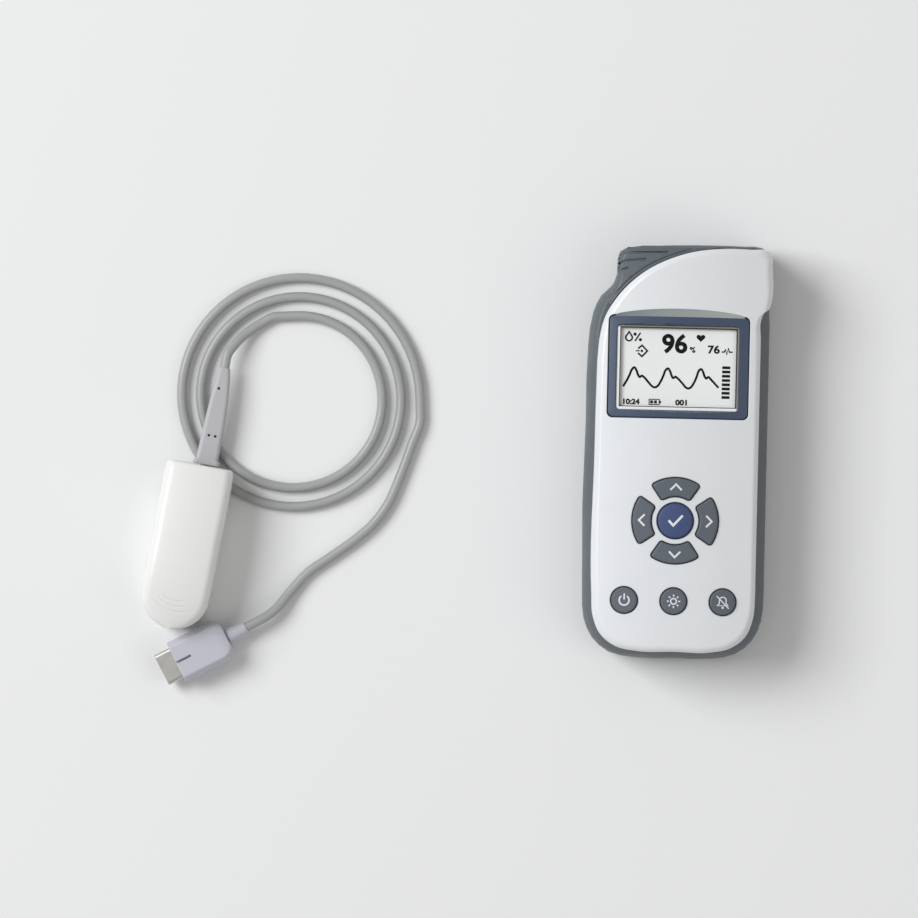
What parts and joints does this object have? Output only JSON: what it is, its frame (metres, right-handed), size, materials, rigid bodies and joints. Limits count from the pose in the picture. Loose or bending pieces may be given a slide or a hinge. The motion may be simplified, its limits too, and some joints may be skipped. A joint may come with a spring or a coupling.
{
  "type": "handheld pulse oximeter with finger clip sensor",
  "caption": "Handheld pulse oximeter with a display, press keys, a battery bay and a sensor socket, and its unplugged spring-hinged finger clip on a looped cable with plug.",
  "frame": {"origin": "centre of the monitor's flat back face", "axes": "+X to the right and +Y to the top end as the user reads the display, +Z out of the display"},
  "size_m": [0.2414, 0.1757, 0.0386],
  "materials": {
    "shell_white": "satin white casing",
    "shell_grey": "fine-grained dark grey casing",
    "bezel_blue": "slate blue frame",
    "clear_window": "clear window",
    "lcd_pale": "pale liquid crystal panel",
    "frame_white": "white light frame",
    "board_green": "green circuit board",
    "silicone_grey": "translucent grey silicone",
    "key_grey": "grey silicone key",
    "key_blue": "slate blue silicone key",
    "socket_black": "black moulding",
    "steel": "plain steel",
    "nickel": "nickel plate",
    "cell_wrap": "printed cell sleeve, its mass near a real cell's",
    "clip_white": "white finger clip",
    "pad_grey": "soft grey finger pad",
    "lens_dark": "dark window that passes red light",
    "cable_grey": "grey cable jacket",
    "hood_grey": "pale grey moulding"
  },
  "bodies": {
    "oximeter": {"front_shell": "shell_white", "rear_shell": "shell_grey", "display_bezel": "bezel_blue", "display_window": "clear_window", "lcd_panel": "lcd_pale", "backlight_frame": "frame_white", "main_board": "board_green", "keypad_membrane": "silicone_grey", "sensor_socket": "socket_black", "speaker": "socket_black", "battery_cell_1": "cell_wrap", "battery_cell_2": "cell_wrap", "battery_cell_3": "cell_wrap", "battery_cell_4": "cell_wrap", "battery_spring_1": "nickel", "battery_spring_2": "nickel", "battery_spring_3": "nickel", "battery_spring_4": "nickel", "contact_bottom_left": "nickel", "contact_bottom_right": "nickel", "contact_top_left": "nickel", "contact_top_middle": "nickel", "contact_top_right": "nickel", "case_screw_1": "steel", "case_screw_2": "steel", "case_screw_3": "steel", "case_screw_4": "steel", "clip_lower_shell": "clip_white", "clip_lower_pad": "pad_grey", "detector_window": "lens_dark", "clip_pin": "steel", "clip_spring": "steel", "clip_boot": "hood_grey", "cable_lead": "cable_grey", "cable_coil": "cable_grey", "cable_tail": "cable_grey", "plug_boot": "hood_grey", "plug_hood": "hood_grey", "plug_shell": "nickel", "plug_contacts": "socket_black"},
    "upper_jaw": {"clip_upper_shell": "clip_white", "clip_upper_pad": "pad_grey", "emitter_window": "lens_dark"},
    "battery_door": {"battery_door": "shell_grey"},
    "key_ok": {"key_ok": "key_blue"},
    "key_up": {"key_up": "key_grey"},
    "key_down": {"key_down": "key_grey"},
    "key_left": {"key_left": "key_grey"},
    "key_right": {"key_right": "key_grey"},
    "key_power": {"key_power": "key_grey"},
    "key_light": {"key_light": "key_grey"},
    "key_mute": {"key_mute": "key_grey"}
  },
  "joints": [
    {"name": "jaw_hinge", "type": "hinge", "parent": "oximeter", "child": "upper_jaw", "pos_m": [-0.19123, -0.04988, 0.0128], "axis": [0.9864, -0.1642, 0], "range_deg": [0, 25], "stiffness_Nm_per_rad": 0.08, "springref_deg": -20.05, "deforming": ["clip_spring"]},
    {"name": "battery_door_slide", "type": "slide", "parent": "oximeter", "child": "battery_door", "axis": [0, -1, 0], "range_m": [0, 0.072]},
    {"name": "key_ok_press", "type": "slide", "parent": "oximeter", "child": "key_ok", "axis": [0, 0, -1], "range_m": [0, 0.0008], "stiffness_N_per_m": 600},
    {"name": "key_up_press", "type": "slide", "parent": "oximeter", "child": "key_up", "axis": [0, 0, -1], "range_m": [0, 0.0008], "stiffness_N_per_m": 600},
    {"name": "key_down_press", "type": "slide", "parent": "oximeter", "child": "key_down", "axis": [0, 0, -1], "range_m": [0, 0.0008], "stiffness_N_per_m": 600},
    {"name": "key_left_press", "type": "slide", "parent": "oximeter", "child": "key_left", "axis": [0, 0, -1], "range_m": [0, 0.0008], "stiffness_N_per_m": 600},
    {"name": "key_right_press", "type": "slide", "parent": "oximeter", "child": "key_right", "axis": [0, 0, -1], "range_m": [0, 0.0008], "stiffness_N_per_m": 600},
    {"name": "key_power_press", "type": "slide", "parent": "oximeter", "child": "key_power", "axis": [0, 0, -1], "range_m": [0, 0.0008], "stiffness_N_per_m": 600},
    {"name": "key_light_press", "type": "slide", "parent": "oximeter", "child": "key_light", "axis": [0, 0, -1], "range_m": [0, 0.0008], "stiffness_N_per_m": 600},
    {"name": "key_mute_press", "type": "slide", "parent": "oximeter", "child": "key_mute", "axis": [0, 0, -1], "range_m": [0, 0.0008], "stiffness_N_per_m": 600}
  ]
}
